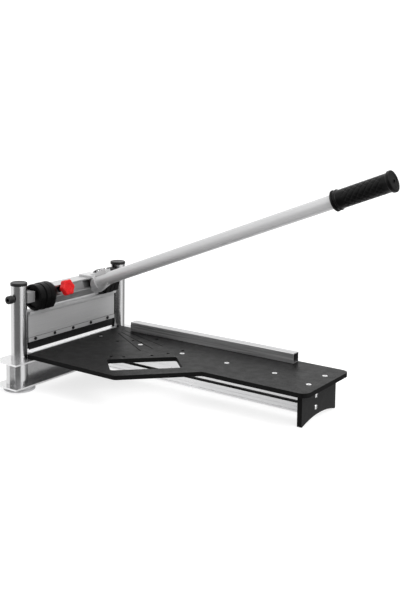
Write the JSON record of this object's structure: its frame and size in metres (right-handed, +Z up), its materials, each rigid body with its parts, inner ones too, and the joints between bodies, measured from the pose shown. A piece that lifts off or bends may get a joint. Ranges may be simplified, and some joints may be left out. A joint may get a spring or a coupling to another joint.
{
  "type": "lever plank cutter",
  "caption": "Bench-top lever guillotine for floor planks: slotted end posts, blade carriage pressed down by cams, long lever, black board with fence and carry slot.",
  "frame": {"origin": "centre of the near foot pad, on the surface the cutter stands on", "axes": "+X along the board away from the blade, +Y from the near post to the far post, +Z up"},
  "size_m": [0.8909, 0.475, 0.5687],
  "materials": {
    "aluminium": "satin anodised extrusion",
    "bright_aluminium": "bright satin extrusion",
    "steel": "zinc plated",
    "blade_steel": "dark hardened blade steel",
    "black_steel": "black oxide",
    "black_board": "fine pebbled black board",
    "black_plate": "fine textured dark plate",
    "black_plastic": "moulded black plastic",
    "grey_pad": "light grey moulded pad",
    "grip_rubber": "knurled black rubber",
    "red_plastic": "satin red moulded plastic"
  },
  "bodies": {
    "base": {"base_profile": "bright_aluminium", "anvil_bar": "bright_aluminium", "table_board": "black_board", "support_beam": "bright_aluminium", "beam_bracket": "aluminium", "end_plate": "black_plate", "near_post": "aluminium", "far_post": "aluminium", "near_post_cap": "black_plastic", "far_post_cap": "black_plastic", "near_foot_pad": "grey_pad", "far_foot_pad": "grey_pad", "near_foot_bolt": "steel", "far_foot_bolt": "steel", "near_post_plug": "steel", "far_post_plug": "steel", "near_return_spring": "steel", "far_return_spring": "steel", "near_pivot_block": "aluminium", "far_pivot_block": "aluminium", "near_pivot_bolt": "black_steel", "far_pivot_bolt": "black_steel", "table_screw_1": "steel", "table_screw_2": "steel", "table_screw_3": "steel", "table_screw_4": "steel", "table_screw_5": "steel", "table_screw_6": "steel", "table_screw_7": "steel", "end_plate_screw_1": "steel", "end_plate_screw_2": "steel"},
    "carriage": {"blade_carriage": "aluminium", "blade": "blade_steel", "blade_clamp": "aluminium", "near_guide_shoe": "bright_aluminium", "far_guide_shoe": "bright_aluminium", "near_end_guide": "black_plastic", "far_end_guide": "black_plastic", "clamp_screw_1": "black_steel", "clamp_screw_2": "black_steel", "clamp_screw_3": "black_steel", "clamp_screw_4": "black_steel", "clamp_screw_5": "black_steel"},
    "lever": {"lever_beam": "bright_aluminium", "near_cam": "black_plastic", "far_cam": "black_plastic", "lever_socket": "bright_aluminium", "lever_tube": "bright_aluminium", "lever_grip": "grip_rubber", "socket_screw_1": "black_steel", "socket_screw_2": "black_steel", "socket_screw_3": "black_steel"},
    "knob_washer": {"knob_collar": "black_plastic"},
    "knob": {"clamp_knob": "red_plastic", "knob_stud": "steel"},
    "side_fence": {"fence": "aluminium", "fence_pin_1": "steel", "fence_pin_2": "steel"}
  },
  "joints": [
    {"name": "lever_swing", "type": "hinge", "parent": "base", "child": "lever", "pos_m": [0, 0.1875, 0.226], "axis": [0, -1, 0], "range_deg": [-29, 54]},
    {"name": "carriage_slide", "type": "slide", "parent": "base", "child": "carriage", "axis": [0, 0, 1], "range_m": [-0.0062, 0.0114], "deforming": ["near_return_spring", "far_return_spring"]},
    {"name": "knob_travel", "type": "slide", "parent": "lever", "child": "knob_washer", "axis": [0.9595, 0, 0.2817], "range_m": [0, 0.0038]},
    {"name": "knob_turn", "type": "hinge", "parent": "knob_washer", "child": "knob", "pos_m": [0.015, 0.126, 0.2289], "axis": [0.9595, 0, 0.2817], "range_deg": [0, 1080]},
    {"name": "fence_lift", "type": "slide", "parent": "base", "child": "side_fence", "axis": [0, 0, 1], "range_m": [0, 0.03]}
  ],
  "couplings": [
    {"joint": "carriage_slide", "follows": "lever_swing", "m_per_rad": 0.012},
    {"joint": "knob_travel", "follows": "knob_turn", "m_per_rad": 0.00019894}
  ]
}
